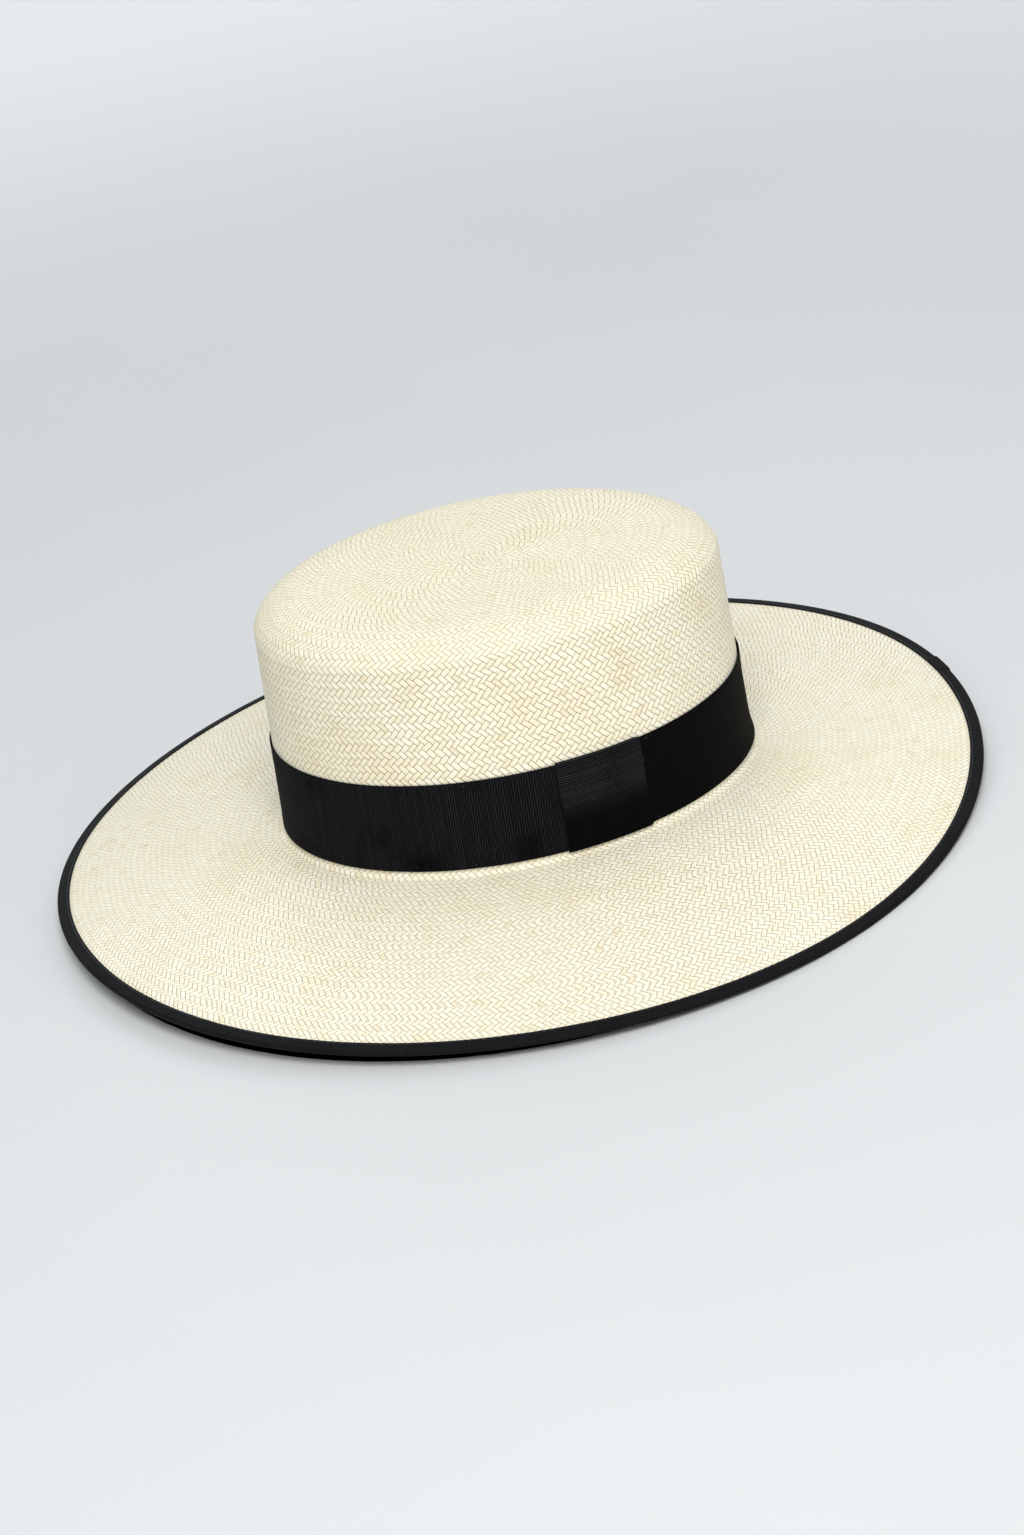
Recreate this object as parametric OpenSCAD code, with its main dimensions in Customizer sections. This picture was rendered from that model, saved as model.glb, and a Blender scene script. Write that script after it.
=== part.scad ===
// Flat-crowned, wide-brimmed straw hat with a ribbon band and a bound brim.
// Millimetres. +Z is up, the front is towards -Y and the wearer's left is +X.
// The origin is under the middle of the brim, on the surface the hat stands on.

/* [Head] */
// Inside circumference of the sweatband
head_size = 580; // [540:10:620]
// Width of the head oval divided by its length
head_ratio = 0.795; // [0.78:0.005:0.86]

/* [Crown] */
// Height of the crown above the brim
crown_h = 105.6; // [80:0.1:130]
// How far in from the wall the crown's flat top starts to round off
edge_in = 23; // [8:1:26]
// How far below the top that rounding meets the wall, at the front and the back
end_edge_down = 13; // [6:1:20]
// The same at the sides
side_edge_down = 9; // [6:1:20]
// How far the front and back walls lean in over the height
end_taper = 3.4; // [0:0.1:8]
// How far the side walls lean in over the height
side_taper = 0.7; // [0:0.1:8]
// Thickness of the woven straw
straw_t = 1.3; // [1:0.1:1.5]

/* [Brim] */
// Length of the brim from its front edge to its back edge
brim_len = 413; // [340:1:440]
// Width of the brim from side to side
brim_w = 413; // [330:1:440]
// How far the crown stands behind the middle of the brim
crown_back = 3.4; // [0:0.1:10]
// Mean drop of the brim's edge below the crown's foot
brim_drop = 12.5; // [8:0.5:20]
// Exponent of the drop from the crown to the edge, where 1 is a cone
brim_curve = 1.6; // [1:0.1:2.5]
// How far the brim dips at the front and rises at the back, from the crown's own level
front_dip = 6.1; // [0:0.1:10]
// Share of the hand-shaped waves in the brim's edge
wave_share = 1; // [0:0.1:1.5]

/* [Ribbons] */
// Width of the grosgrain ribbon round the crown
ribbon_w = 40.4; // [25:0.1:50]
// Thickness of that ribbon
ribbon_t = 0.6; // [0.4:0.1:0.8]
// Width of the tab over the ribbon's joint
tab_w = 39; // [20:1:50]
// Width of the brim's binding, as seen from above
binding_w = 5.7; // [4:0.1:10]
// Thickness of the binding ribbon
binding_t = 0.5; // [0.3:0.1:0.6]
// Diameter of the wire in the brim's edge
wire_d = 1; // [0.6:0.1:1]

/* [Sweatband] */
// Height of the sweatband
sweat_h = 36; // [25:1:45]
// Thickness of the sweatband's leather
sweat_t = 0.9; // [0.6:0.1:1.2]
// Diameter of the reed in its lower edge
reed_d = 2.4; // [1.6:0.1:3]

/* [Hidden] */

straw_color = "#efe6cd";
ribbon_color = "#17171a";
binding_color = "#202022";
leather_color = "#c9a678";
tape_color = "#e6dcc4";

// Stations stand every step degrees round the hat: 0 is the front, 90 is the wearer's left.
step = 5;
stations = [step / 2:step:360 - step / 2];
back = 180;

// The crown's outside at its foot comes from the head size, by Ramanujan's formula for
// the circumference of an ellipse.
oval_h = pow((1 - head_ratio) / (1 + head_ratio), 2);
head_a = head_size / (PI * (1 + head_ratio) * (1 + 3 * oval_h / (10 + sqrt(4 - 3 * oval_h))));
sweat_gap = 0.4;
sweat_in = straw_t + sweat_gap;
crown_a = head_a + sweat_t + sweat_in;
crown_b = head_a * head_ratio + sweat_t + sweat_in;
break_r = 2.2;

// The bound edge is a half-round nose over the wire.
fold_slack = 0.15;
nose_r = straw_t / 2 + binding_t + fold_slack;
binding_in = binding_w - nose_r;
wire_room = 0.25;
straw_end = wire_d / 2 + wire_room;
wave2 = [2.5, 2.6];
wave3 = [-0.7, 0.1];
wave4 = 0.9;

ribbon_z = 3;
ribbon_gap = 0.2;
tab_gap = 0.1;
tab_from = 89.2;
tab_middle = tab_from + 11;
tack_size = [0.5, 2.6, 1.2];
tack_in = 1.6;
tack_from = 22.5;
tack_every = 45;

tape_t = 0.3;
tape_gap = 0.05;
wrap_r = reed_d / 2 + tape_t + tape_gap;
wrap_in = straw_t + tape_gap + wrap_r;
flange_h = 8;
sweat_z = wrap_r + 0.3;
stitch_size = [2.4, 0.5, 0.5];
patch_in = straw_t + 0.08;

// A point of an oval with half-length a along Y and half-width b along X.
function oval(a, b, t) = [b * sin(t), -a * cos(t)];

// How far the edge lies below the crown's foot at station t.
function edge_fall(t) = brim_drop + front_dip * cos(t) - wave_share * (
    wave2 * [cos(2 * t), sin(2 * t)] + wave3 * [cos(3 * t), sin(3 * t)] + wave4 * cos(4 * t)
);

// A point of the crown's wall, z above its foot and inset from its outside.
function crown_point(t, z, inset) =
    let (
        k = z / crown_h,
        p = oval(crown_a - end_taper * k - inset, crown_b - side_taper * k - inset, t)
    )
    [p.x, p.y + crown_back, z];

// A point of the crown's top edge, a quarter of an ellipse: q is 0 at the wall and 90 at
// the top. inner is the straw's thickness on the inside of the crown and 0 on its outside.
function top_edge_point(t, q, inner) =
    let (down = side_edge_down + (end_edge_down - side_edge_down) * pow(cos(t), 2))
    crown_point(
        t, crown_h - down + (down - inner) * sin(q), edge_in - (edge_in - inner) * cos(q)
    );

function foot_xy(t) = let (p = crown_point(t, 0, -break_r)) [p.x, p.y];
function edge_xy(t) = oval(brim_len / 2 - nose_r, brim_w / 2 - nose_r, t);
function brim_width(t) = norm(edge_xy(t) - foot_xy(t));
function outward(t) = (edge_xy(t) - foot_xy(t)) / brim_width(t);

// A point of the brim, w in from the middle of the nose and n above the straw's middle.
function brim_point(t, w, n) =
    let (
        xy = edge_xy(t) - outward(t) * w,
        share = pow(max(0, 1 - w / brim_width(t)), brim_curve)
    )
    [xy.x, xy.y, n - straw_t / 2 - (edge_fall(t) - straw_t / 2) * share];

// A point round the brim's nose: q is 90 on top, 0 at the tip and -90 underneath.
function nose_point(t, r, q) =
    let (o = outward(t) * r * cos(q))
    brim_point(t, 0, r * sin(q)) + [o.x, o.y, 0];

// The hat is drawn with its crown upright. It then leans back by the brim's own dip, so
// that the brim stands level on what is under it.
stand_lean = atan(front_dip / (brim_len / 2));
function leaned(p) = [
    p.x,
    p.y * cos(stand_lean) + p.z * sin(stand_lean),
    p.z * cos(stand_lean) - p.y * sin(stand_lean)
];
edge_y = [for (t = stations) leaned(nose_point(t, nose_r, 0)).y];
edge_z = [for (t = stations, q = [0:-30:-90]) leaned(nose_point(t, nose_r, q)).z];

// Places its children as the hat stands.
module stand() {
    translate([0, -(min(edge_y) + max(edge_y)) / 2, -min(edge_z)])
        rotate([-stand_lean, 0, 0])
            children();
}

// Values between two stations lie on the chord that joins them, so that every ring is
// cut into the same flats and the gaps between them stay even.
function on_chord(f, t) =
    let (i = floor(t / step - 0.5), u = t / step - 0.5 - i)
    (1 - u) * f((i + 0.5) * step) + u * f((i + 1.5) * step);

// The stations from t0 to t1, with both ends.
function span(t0, t1) = concat(
    [t0],
    [for (i = [ceil(t0 / step - 0.5):floor(t1 / step - 0.5)]) (i + 0.5) * step],
    [t1]
);

// A round section in the plane of a station, as [inset, z] offsets.
function round_section(r, sides) = [
    for (i = [0:sides - 1]) r * [cos(i * 360 / sides), sin(i * 360 / sides)]
];

// Two triangles between neighbours a and b of one outline and a2 and b2 of the next.
function quad(a, b, b2, a2) = [[a, b, b2], [a, b2, a2]];

// A solid through one closed outline at each station. A closed ring joins its ends. An
// open strip is capped by the quads that join the outline's first half to its second.
module loft(outlines, ring = true) {
    m = len(outlines[0]);
    n = len(outlines);
    sides = [
        for (i = [0:n - (ring ? 1 : 2)], j = [0:m - 1])
            let (a = i * m, b = (i + 1) % n * m, k = (j + 1) % m)
            each quad(a + j, a + k, b + k, b + j)
    ];
    caps = ring ? [] : [
        for (j = [0:m / 2 - 2])
            let (far = (n - 1) * m)
            each concat(
                quad(j, m - 1 - j, m - 2 - j, j + 1),
                quad(far + j, far + j + 1, far + m - 2 - j, far + m - 1 - j)
            )
    ];
    polyhedron(points = [for (o = outlines) each o], faces = concat(sides, caps));
}

// An upright strip that follows the crown's wall from t0 to t1.
module wall_strip(t0, t1, z0, z1, inset0, inset1) {
    outline = function(t) [
        crown_point(t, z0, inset0), crown_point(t, z0, inset1),
        crown_point(t, z1, inset1), crown_point(t, z1, inset0)
    ];
    loft([for (t = span(t0, t1)) on_chord(outline, t)], ring = false);
}

// A tube of radius r round the hat along the points that the function gives.
module wall_tube(r, sides, z, inset) {
    section = round_section(r, sides);
    loft([for (t = stations) [for (s = section) crown_point(t, z + s.y, inset - s.x)]]);
}

// Places its children at a station of the crown's wall: X along the wall, Y outward.
module at_wall(t, z, inset) {
    ahead = crown_point(t + 1, z, inset) - crown_point(t - 1, z, inset);
    translate(crown_point(t, z, inset))
        rotate([0, 0, atan2(ahead.y, ahead.x)])
            children();
}

// The straw's upper and outer surface at station t, from the crown's top to the edge.
function upper_rows(t) = concat(
    [for (q = [90:-15:0]) top_edge_point(t, q, 0)],
    [for (q = [0:30:60]) crown_point(t, break_r * (1 - sin(q)), -break_r * (1 - cos(q)))],
    [for (s = [0:0.2:0.8]) brim_point(t, (1 - s) * brim_width(t), straw_t / 2)],
    [brim_point(t, straw_end, straw_t / 2)]
);

// The straw's lower and inner surface at station t, from the edge to the crown's top.
function lower_rows(t) =
    let (r1 = break_r + straw_t)
    concat(
        [brim_point(t, straw_end, -straw_t / 2)],
        [for (s = [0.8:-0.2:0]) brim_point(t, (1 - s) * brim_width(t), -straw_t / 2)],
        [for (q = [60:-30:0]) crown_point(t, break_r - r1 * sin(q), r1 * cos(q) - break_r)],
        [for (q = [0:15:90]) top_edge_point(t, q, straw_t)]
    );

// The hat body: crown and brim woven in one piece.
module straw_body() {
    rows = [for (t = stations) concat(upper_rows(t), lower_rows(t))];
    n = len(rows);
    m = len(rows[0]);
    tops = [
        [0, crown_back, crown_h],
        [0, crown_back, crown_h - straw_t]
    ];
    walls = [
        for (i = [0:n - 1], j = [0:m - 2])
            let (a = i * m, b = (i + 1) % n * m)
            each quad(a + j, a + j + 1, b + j + 1, b + j)
    ];
    fans = [
        for (i = [0:n - 1])
            let (a = i * m, b = (i + 1) % n * m)
            each [[n * m, a, b], [n * m + 1, b + m - 1, a + m - 1]]
    ];
    color(straw_color)
        stand()
            polyhedron(
                points = concat([for (r = rows) each r], tops),
                faces = concat(walls, fans)
            );
}

// The grosgrain ribbon round the foot of the crown. Its ends meet under the tab.
module hat_band() {
    joint = tab_from + tab_angle / 2;
    color(ribbon_color)
        stand()
            wall_strip(joint + 0.1, joint + 359.9, ribbon_z, ribbon_z + ribbon_w, -ribbon_gap,
                -ribbon_gap - ribbon_t);
}

// The angle that the tab's width takes up on the crown.
tab_angle = tab_w / (norm([crown_b * cos(tab_middle), crown_a * sin(tab_middle)]) * PI / 180);
tab_in = -ribbon_gap - ribbon_t - tab_gap;
tab_out = tab_in - ribbon_t;

// The flat tab over the ribbon's joint, turned in over both of the ribbon's edges.
module band_tab() {
    lip_in = -0.1;
    z0 = ribbon_z - 0.1;
    z1 = ribbon_z + ribbon_w + 0.1;
    outline = function(t) [
        crown_point(t, z0 - ribbon_t, lip_in), crown_point(t, z0 - ribbon_t, tab_out),
        crown_point(t, z1 + ribbon_t, tab_out), crown_point(t, z1 + ribbon_t, lip_in),
        crown_point(t, z1, lip_in), crown_point(t, z1, tab_in),
        crown_point(t, z0, tab_in), crown_point(t, z0, lip_in)
    ];
    color(ribbon_color)
        stand()
            loft(
                [for (t = span(tab_from, tab_from + tab_angle)) on_chord(outline, t)],
                ring = false
            );
}

// Thread tacks that hold the ribbon's two edges to the straw.
module band_tacks() {
    heights = [ribbon_z + tack_in, ribbon_z + ribbon_w - tack_in];
    color(ribbon_color)
        stand()
            for (t = [tack_from:tack_every:360], z = heights)
                at_wall(t, z, 0)
                    cube(tack_size, center = true);
}

// The ribbon folded over the brim's edge.
module brim_binding() {
    inner_r = nose_r - binding_t;
    outlines = [
        for (t = stations) concat(
            [brim_point(t, binding_in, nose_r)],
            [for (q = [90:-30:-90]) nose_point(t, nose_r, q)],
            [brim_point(t, binding_in, -nose_r), brim_point(t, binding_in, -inner_r)],
            [for (q = [-90:45:90]) nose_point(t, inner_r, q)],
            [brim_point(t, binding_in, inner_r)]
        )
    ];
    color(binding_color)
        stand()
            loft(outlines);
}

// The seam along the binding's inner edge. Each stitch goes through ribbon and straw.
module binding_stitches() {
    seam_in = binding_in - 1;
    height = 2 * nose_r + 0.3;
    color(binding_color)
        stand()
            for (t = stations) {
                ahead = edge_xy(t + 1) - edge_xy(t - 1);
                rise = brim_point(t, 2 * seam_in, 0) - brim_point(t, 0, 0);
                translate(brim_point(t, seam_in, 0))
                    rotate([0, 0, atan2(ahead.y, ahead.x)])
                        rotate([atan2(rise.z, 2 * seam_in), 0, 0])
                            cube([stitch_size.x, stitch_size.y, height], center = true);
            }
}

// The wire in the nose. Its ends meet at the back, in the joiner.
module brim_wire() {
    section = round_section(wire_d / 2, 8);
    outline = function(t) [
        for (s = section)
            let (o = outward(t) * s.x)
            brim_point(t, 0, s.y) + [o.x, o.y, 0]
    ];
    color("silver")
        stand()
            loft([for (t = span(back + 0.1, back + 359.9)) on_chord(outline, t)], ring = false);
}

// The sleeve that joins the wire's two ends.
module wire_joiner() {
    length = 14;
    bore_r = wire_d / 2 + 0.03;
    middle = function(t) brim_point(t, 0, 0);
    ends = [middle(back - step / 2), middle(back + step / 2)];
    run = ends[1] - ends[0];
    color("gainsboro")
        stand()
            translate((ends[0] + ends[1]) / 2)
                rotate([0, acos(run.z / norm(run)), atan2(run.y, run.x)])
                    difference() {
                        cylinder(r = bore_r + 0.12, h = length, center = true, $fn = 32);
                        cylinder(r = bore_r, h = length + 1, center = true, $fn = 32);
                    }
}

// The leather band that touches the head. Its ends meet at the back.
module sweatband() {
    color(leather_color)
        stand()
            wall_strip(back + 0.15, back + 359.85, sweat_z, sweat_z + sweat_h, sweat_in,
                sweat_in + sweat_t);
}

// The round cord in the sweatband's lower edge.
module sweatband_reed() {
    color("ivory")
        stand()
            wall_tube(reed_d / 2, 8, 0, wrap_in);
}

// The strip wrapped round the reed, whose flange is sewn to the sweatband and the straw.
module reed_tape() {
    outer = [for (q = [180:60:420]) wrap_r * [cos(q), sin(q)]];
    inner = [for (q = [420:-60:180]) (wrap_r - tape_t) * [cos(q), sin(q)]];
    section = concat([[-wrap_r, flange_h]], outer, inner, [[tape_t - wrap_r, flange_h]]);
    color(tape_color)
        stand()
            loft([for (t = stations) [for (s = section) crown_point(t, s.y, wrap_in + s.x)]]);
}

// The seam that holds sweatband and tape to the straw.
module sweatband_stitches() {
    seam_z = 5.2;
    reach = sweat_in + sweat_t + 0.25;
    color("ivory")
        stand()
            for (t = stations)
                at_wall(t, seam_z, reach / 2 - 0.1)
                    cube([stitch_size.x, reach, stitch_size.z], center = true);
}

// The strip behind the sweatband's joint.
module back_seam_tape() {
    color(tape_color)
        stand()
            wall_strip(back - 3.5, back + 3.5, flange_h + 0.5, sweat_z + sweat_h - 1,
                patch_in, patch_in + 0.24);
}

// One loop of the bow: a leaf along +X that starts inside the knot.
module bow_loop(length, width) {
    leaf = [
        for (q = [30:15:330])
            [length * (1 - cos(q)) / 2, -width * sin(q) * (1 - cos(q)) / 2.6]
    ];
    polygon(leaf);
}

// The small flat ribbon bow on the sweatband's joint.
module sweatband_bow() {
    loop_l = 11;
    loop_w = 7;
    tail_w = 2.6;
    tail_fall = -38;
    bow_t = 1.2;
    bow_z = 12;
    knot = [4, 4.4];
    // The flat bow touches the curved leather at its two ends.
    end_angle = 7.5;
    bow_end = crown_point(back + end_angle, bow_z, sweat_in + sweat_t);
    color(ribbon_color)
        stand()
            translate([0, bow_end.y - 0.15, bow_z])
                rotate([90, 0, 0])
                    linear_extrude(bow_t) {
                        square(knot, center = true);
                        for (side = [0, 1])
                            mirror([side, 0]) {
                                bow_loop(loop_l, loop_w);
                                rotate(tail_fall)
                                    translate([0, -tail_w / 2])
                                        square([loop_l, tail_w]);
                            }
                    }
}

// The blank size label behind the sweatband.
module size_tab() {
    label_from = 201;
    color("white")
        stand()
            wall_strip(label_from, label_from + 14, 22, sweat_z + sweat_h + 9, patch_in,
                patch_in + 0.2);
}

straw_body();
hat_band();
band_tab();
band_tacks();
brim_binding();
binding_stitches();
brim_wire();
wire_joiner();
sweatband();
sweatband_reed();
reed_tape();
sweatband_stitches();
back_seam_tape();
sweatband_bow();
size_tab();
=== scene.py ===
"""The looks of a flat-crowned straw hat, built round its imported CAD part.

Hat coordinates are millimetres with the crown upright, as the CAD design is drawn. The
stations t are degrees round the hat: 0 is the front (-Y) and 90 the wearer's left (+X).
to_row() leans the hat onto its brim and turns millimetres into the row's metres.
"""

import math

import bmesh
import bpy
import numpy as np
from mathutils import Matrix, Vector


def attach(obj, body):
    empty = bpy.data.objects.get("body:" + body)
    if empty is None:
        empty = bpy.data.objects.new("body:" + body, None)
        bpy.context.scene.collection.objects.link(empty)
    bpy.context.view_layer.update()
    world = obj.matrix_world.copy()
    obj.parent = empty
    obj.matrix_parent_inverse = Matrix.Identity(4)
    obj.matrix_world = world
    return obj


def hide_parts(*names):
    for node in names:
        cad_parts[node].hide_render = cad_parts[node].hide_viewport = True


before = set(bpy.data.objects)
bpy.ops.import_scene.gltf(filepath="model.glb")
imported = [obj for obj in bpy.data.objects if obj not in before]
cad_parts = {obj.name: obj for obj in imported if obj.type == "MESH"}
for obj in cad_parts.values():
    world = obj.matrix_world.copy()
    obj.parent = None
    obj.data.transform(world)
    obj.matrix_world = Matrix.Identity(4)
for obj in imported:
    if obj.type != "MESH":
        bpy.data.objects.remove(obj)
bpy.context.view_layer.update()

# ---------------------------------------------------------------- driving dimensions, mm
HEAD_SIZE = 580.0
HEAD_RATIO = 0.795
CROWN_H = 105.6
EDGE_IN = 23.0
END_EDGE_DOWN = 13.0
SIDE_EDGE_DOWN = 9.0
END_TAPER = 3.4
SIDE_TAPER = 0.7
STRAW_T = 1.3
BRIM_LEN = 413.0
BRIM_W = 413.0
CROWN_BACK = 3.4
BRIM_DROP = 12.5
BRIM_CURVE = 1.6
FRONT_DIP = 6.1
EDGE_WAVES = {2: (2.5, 2.6), 3: (-0.7, 0.1), 4: (0.9, 0.0)}
BREAK_R = 2.2
RIBBON_W = 40.4
RIBBON_T = 0.6
RIBBON_Z = 3.0
RIBBON_GAP = 0.2
TAB_GAP = 0.1
TAB_W = 39.0
TAB_FROM = 89.2
TAB_MIDDLE = TAB_FROM + 11
TACK_IN = 1.6
BINDING_W = 5.7
BINDING_T = 0.5
FOLD_SLACK = 0.15
WIRE_D = 1.0
WIRE_ROOM = 0.25
SWEAT_H = 36.0
SWEAT_T = 0.9
SWEAT_GAP = 0.4
REED_D = 2.4
TAPE_T = 0.3
TAPE_GAP = 0.05
FLANGE_H = 8.0

# ---------------------------------------------------------------- what follows from them
OVAL_H = ((1 - HEAD_RATIO) / (1 + HEAD_RATIO)) ** 2
HEAD_A = HEAD_SIZE / (
    math.pi * (1 + HEAD_RATIO) * (1 + 3 * OVAL_H / (10 + math.sqrt(4 - 3 * OVAL_H)))
)
SWEAT_IN = STRAW_T + SWEAT_GAP
CROWN_A = HEAD_A + SWEAT_T + SWEAT_IN
CROWN_B = HEAD_A * HEAD_RATIO + SWEAT_T + SWEAT_IN
NOSE_R = STRAW_T / 2 + BINDING_T + FOLD_SLACK
BINDING_IN = BINDING_W - NOSE_R
STRAW_END = WIRE_D / 2 + WIRE_ROOM
WRAP_R = REED_D / 2 + TAPE_T + TAPE_GAP
WRAP_IN = STRAW_T + TAPE_GAP + WRAP_R
SWEAT_Z = WRAP_R + 0.3
PATCH_IN = STRAW_T + 0.08
LEAN = math.atan(FRONT_DIP / (BRIM_LEN / 2))
BACK = 180.0

# ---------------------------------------------------------------- sizes of the handwork
STRAND_PITCH = 2.12
WOVEN_SQUARE_R = 9.0
RIB_PITCH = 1.0
TAB_RIB_PITCH = 1.09
THREAD_R = 0.17
BINDING_STITCHES = 430
SEAM_STITCHES = 200
SWELL = 0.35


def wander(t, seed, size, orders=(2, 3, 5, 7)):
    """A smooth random wave round the hat, the same for the same seed."""
    rng = np.random.default_rng(seed)
    total = np.zeros_like(np.asarray(t, float))
    for order in orders:
        height = rng.normal() / math.sqrt(order)
        total = total + height * np.sin(np.radians(t) * order + rng.uniform(0, 7))
    return total * size


def same_shape(*values):
    """The values as float arrays of one shape."""
    return np.broadcast_arrays(*(np.asarray(value, float) for value in values))


def unit(a):
    return a / np.linalg.norm(a, axis=-1, keepdims=True)


def oval(a, b, t):
    """Points of an oval with half-length a along Y and half-width b along X."""
    angle = np.radians(t)
    return np.stack(np.broadcast_arrays(b * np.sin(angle), -a * np.cos(angle)), axis=-1)


def edge_fall(t):
    """How far the brim's edge lies below the crown's foot."""
    angle = np.radians(t)
    waves = sum(
        c * np.cos(order * angle) + s * np.sin(order * angle)
        for order, (c, s) in EDGE_WAVES.items()
    )
    return BRIM_DROP + FRONT_DIP * np.cos(angle) - waves


def crown_point(t, z, inset):
    """Points of the crown's wall, z above its foot and inset from its outside."""
    t, z, inset = same_shape(t, z, inset)
    k = z / CROWN_H
    soft = np.clip(k, 0, 1) ** 2 * (wander(t, 11, 0.22) + wander(t + 40 * k, 12, 0.12))
    a = CROWN_A - END_TAPER * k - inset + soft
    b = CROWN_B - SIDE_TAPER * k - inset + soft
    xy = oval(a, b, t)
    return np.stack([xy[..., 0], xy[..., 1] + CROWN_BACK, z], axis=-1)


def edge_down(t):
    """How far below the top the edge's rounding meets the wall."""
    return SIDE_EDGE_DOWN + (END_EDGE_DOWN - SIDE_EDGE_DOWN) * np.cos(np.radians(t)) ** 2


def top_edge_point(t, q, inner):
    """Points of the crown's top edge, a quarter of an ellipse: q is 0 at the wall and 90 at
    the top. inner is the straw's thickness inside the crown and 0 on its outside."""
    angle, down = np.radians(q), edge_down(t)
    z = CROWN_H - down + (down - inner) * np.sin(angle)
    return crown_point(t, z, EDGE_IN - (EDGE_IN - inner) * np.cos(angle))


def edge_xy(t):
    """The middle line of the brim's nose, seen from above."""
    return oval(BRIM_LEN / 2 - NOSE_R, BRIM_W / 2 - NOSE_R, t)


def brim_run(t):
    """From the break at the crown's foot to the nose, seen from above."""
    return edge_xy(t) - crown_point(t, 0.0, -BREAK_R)[..., :2]


def brim_width(t):
    return np.linalg.norm(brim_run(t), axis=-1)


def outward(t):
    """The direction out of the brim at each station, seen from above."""
    return unit(brim_run(t))


def brim_point(t, w, n):
    """Points of the brim, w in from the middle of the nose, n above the straw's middle."""
    t, w, n = same_shape(t, w, n)
    xy = edge_xy(t) - outward(t) * w[..., None]
    s = np.clip(1 - w / brim_width(t), 0, 1)
    swell = np.sin(math.pi * s) ** 2 * (wander(t, 21, SWELL) + wander(t + 70 * s, 22, SWELL))
    z = n - STRAW_T / 2 - (edge_fall(t) - STRAW_T / 2) * s**BRIM_CURVE + swell
    return np.stack([xy[..., 0], xy[..., 1], z], axis=-1)


def nose_point(t, r, q):
    """Points round the brim's nose: q is 90 on top, 0 at the tip and -90 underneath."""
    angle = np.radians(q)
    point = brim_point(t, 0.0, r * np.sin(angle))
    point[..., :2] += outward(t) * (r * np.cos(angle))[..., None]
    return point


def leaned(p):
    """Points with the crown leaned back, so that the brim's edge is level."""
    x, y, z = np.moveaxis(p, -1, 0)
    c, s = math.cos(LEAN), math.sin(LEAN)
    return np.stack([x, y * c + z * s, z * c - y * s], -1)


def stand_offset():
    """The shift along Y and the lift that stand the hat on its brim, as the CAD has it."""
    t = np.arange(2.5, 360, 5.0)[:, None]
    nose = leaned(nose_point(t, np.full((1, 4), NOSE_R), np.array([0.0, -30, -60, -90])))
    return np.array([0, -(nose[:, 0, 1].min() + nose[:, 0, 1].max()) / 2, -nose[..., 2].min()])


OFFSET = stand_offset()


def to_row(p):
    """Hat millimetres to the row frame's metres."""
    return (leaned(np.asarray(p, float)) + OFFSET) / 1000


# ---------------------------------------------------------------- mesh helpers
def add_piece(name, points, faces, material, nodes, slot, uv):
    """A mesh object that rides on the hat and stands for the CAD nodes given."""
    mesh = bpy.data.meshes.new(name)
    mesh.from_pydata(to_row(points).reshape(-1, 3).tolist(), [], faces)
    layer = mesh.uv_layers.new(name="weave")
    layer.data.foreach_set("uv", np.asarray(uv, np.float32).ravel())
    mesh.polygons.foreach_set("use_smooth", [True] * len(mesh.polygons))
    bm = bmesh.new()
    bm.from_mesh(mesh)
    bmesh.ops.recalc_face_normals(bm, faces=bm.faces)
    bm.to_mesh(mesh)
    bm.free()
    mesh.materials.append(material)
    piece = bpy.data.objects.new(name, mesh)
    bpy.context.scene.collection.objects.link(piece)
    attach(piece, "root")
    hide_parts(*nodes)
    return piece


def quads(n, m, wrap_n, wrap_m):
    """Quads of an n by m grid, as indices, and each one's row and column."""
    i, j = np.meshgrid(
        np.arange(n if wrap_n else n - 1), np.arange(m if wrap_m else m - 1), indexing="ij"
    )
    i, j = i.ravel(), j.ravel()
    i2, j2 = (i + 1) % n, (j + 1) % m
    return np.stack([i * m + j, i * m + j2, i2 * m + j2, i2 * m + j], -1), i, j


def sweep(name, grid, u, v, material, ring=True, **ride):
    """A solid through closed outlines. grid is [station, outline point, xyz], u is the
    length at each station and v the length round each outline, with one value more than
    there are points where the direction closes. An open sweep gets flat end caps."""
    n, m = grid.shape[:2]
    faces, i, j = quads(n, m, ring, True)
    u, v = np.asarray(u, float), np.asarray(v, float)
    uv = np.stack(
        [
            np.stack([u[i], u[i], u[i + 1], u[i + 1]], -1),
            np.stack([v[j], v[j + 1], v[j + 1], v[j]], -1),
        ],
        -1,
    ).reshape(-1, 2)
    faces = faces.tolist()
    if not ring:
        faces += [list(range(m)), list(range((n - 1) * m, n * m))]
        ends = [[u[0], x] for x in v[:m]] + [[u[-1], x] for x in v[:m]]
        uv = np.concatenate([uv, ends])
    return add_piece(name, grid, faces, material, uv=uv, **ride)


def lengths(path, closed=False):
    """Running length along a path of points, from 0."""
    if closed:
        path = np.concatenate([path, path[:1]])
    return np.concatenate([[0], np.cumsum(np.linalg.norm(np.diff(path, axis=0), axis=-1))])


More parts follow.
